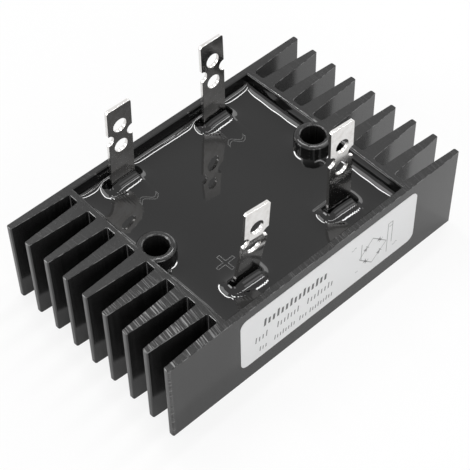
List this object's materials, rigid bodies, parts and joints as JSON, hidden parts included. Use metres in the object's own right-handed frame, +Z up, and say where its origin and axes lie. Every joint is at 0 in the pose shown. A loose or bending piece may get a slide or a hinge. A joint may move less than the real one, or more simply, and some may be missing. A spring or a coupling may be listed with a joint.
{
  "type": "bridge rectifier",
  "caption": "Potted single-phase diode bridge in a finned black aluminium heat sink, with four flat screw or solder terminals.",
  "frame": {"origin": "centre of the flat underside", "axes": "+Z up, the way the terminals point; +X along the label from left to right, from fin tip to fin tip; -Y out of the label face"},
  "size_m": [0.105, 0.0641, 0.0537],
  "materials": {
    "anodised_aluminium": "black anodised, satin, saw-cut on the end faces",
    "plain_aluminium": "milled",
    "epoxy": "glossy cast surface",
    "plated_steel": "bright nickel plate",
    "copper": "plain copper",
    "alumina": "matt white ceramic",
    "silicon": "soldered silicon die",
    "label": "satin silver-white film"
  },
  "bodies": {
    "root": {"heat_sink": "anodised_aluminium", "base_plate": "plain_aluminium", "insulator_ac_1": "alumina", "pad_ac_1": "copper", "insulator_ac_2": "alumina", "pad_ac_2": "copper", "insulator_positive": "alumina", "pad_positive": "copper", "insulator_negative": "alumina", "pad_negative": "copper", "diode_1": "silicon", "diode_2": "silicon", "diode_3": "silicon", "diode_4": "silicon", "strap_ac_1": "copper", "strap_ac_2": "copper", "strap_negative": "copper", "strap_bridge": "copper", "terminal_ac_1": "plated_steel", "terminal_ac_2": "plated_steel", "terminal_positive": "plated_steel", "terminal_negative": "plated_steel", "potting_compound": "epoxy", "rating_label": "label"}
  },
  "joints": []
}
